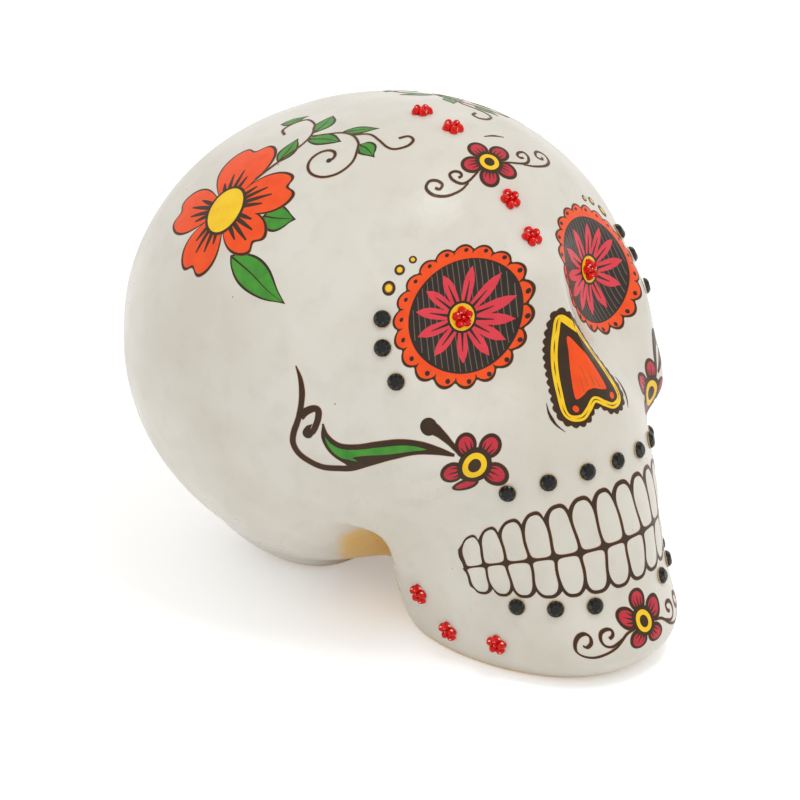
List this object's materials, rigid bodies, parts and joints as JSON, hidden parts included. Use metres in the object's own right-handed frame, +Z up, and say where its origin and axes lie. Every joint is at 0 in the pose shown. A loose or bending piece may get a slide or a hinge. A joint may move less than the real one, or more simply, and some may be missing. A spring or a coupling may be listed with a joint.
{
  "type": "sugar skull",
  "caption": "Life-size painted skull decoration with a rounded cranium, dished eyes, printed flowers and teeth, and glued-on gems. Stands on its flat underside.",
  "frame": {"origin": "centre of the outline on the surface it stands on, z = 0 at the flat underside", "axes": "+Z up, face toward -Y, back of the cranium toward +Y, the skull's own right side toward -X"},
  "size_m": [0.143, 0.1729, 0.1372],
  "materials": {
    "painted_skin": "off-white paint, soft gloss, lightly mottled",
    "foam": "bare amber rigid foam",
    "orange_print": "printed film under clear varnish",
    "brown_print": "printed film under clear varnish",
    "red_print": "printed film under clear varnish",
    "green_print": "printed film under clear varnish",
    "yellow_print": "printed film under clear varnish",
    "black_stone": "polished black acrylic, faceted",
    "red_gem": "polished red acrylic, faceted"
  },
  "bodies": {
    "root": {"skull_skin": "painted_skin", "foam_core": "foam", "nose_transfer": "orange_print", "teeth_transfer": "brown_print", "forehead_flower": "red_print", "chin_flower": "red_print", "eye_transfer_left": "orange_print", "cheek_flower_left": "red_print", "crown_flower_left": "orange_print", "cheek_leaf_left": "green_print", "crown_vine_left": "green_print", "brow_dots_left": "yellow_print", "eye_transfer_right": "orange_print", "cheek_flower_right": "red_print", "crown_flower_right": "orange_print", "cheek_leaf_right": "green_print", "crown_vine_right": "green_print", "brow_dots_right": "yellow_print", "lip_stone_middle": "black_stone", "temple_stone_left_1": "black_stone", "temple_stone_left_2": "black_stone", "temple_stone_left_3": "black_stone", "lip_stone_left_1": "black_stone", "lip_stone_left_2": "black_stone", "lip_stone_left_3": "black_stone", "chin_stone_left_1": "black_stone", "chin_stone_left_2": "black_stone", "chin_stone_left_3": "black_stone", "temple_stone_right_1": "black_stone", "temple_stone_right_2": "black_stone", "temple_stone_right_3": "black_stone", "lip_stone_right_1": "black_stone", "lip_stone_right_2": "black_stone", "lip_stone_right_3": "black_stone", "chin_stone_right_1": "black_stone", "chin_stone_right_2": "black_stone", "chin_stone_right_3": "black_stone", "forehead_blossom_1": "red_gem", "forehead_blossom_2": "red_gem", "forehead_blossom_3": "red_gem", "forehead_blossom_4": "red_gem", "eye_blossom_left": "red_gem", "jaw_blossom_left_1": "red_gem", "jaw_blossom_left_2": "red_gem", "jaw_blossom_left_3": "red_gem", "eye_blossom_right": "red_gem", "jaw_blossom_right_1": "red_gem", "jaw_blossom_right_2": "red_gem", "jaw_blossom_right_3": "red_gem"}
  },
  "joints": []
}
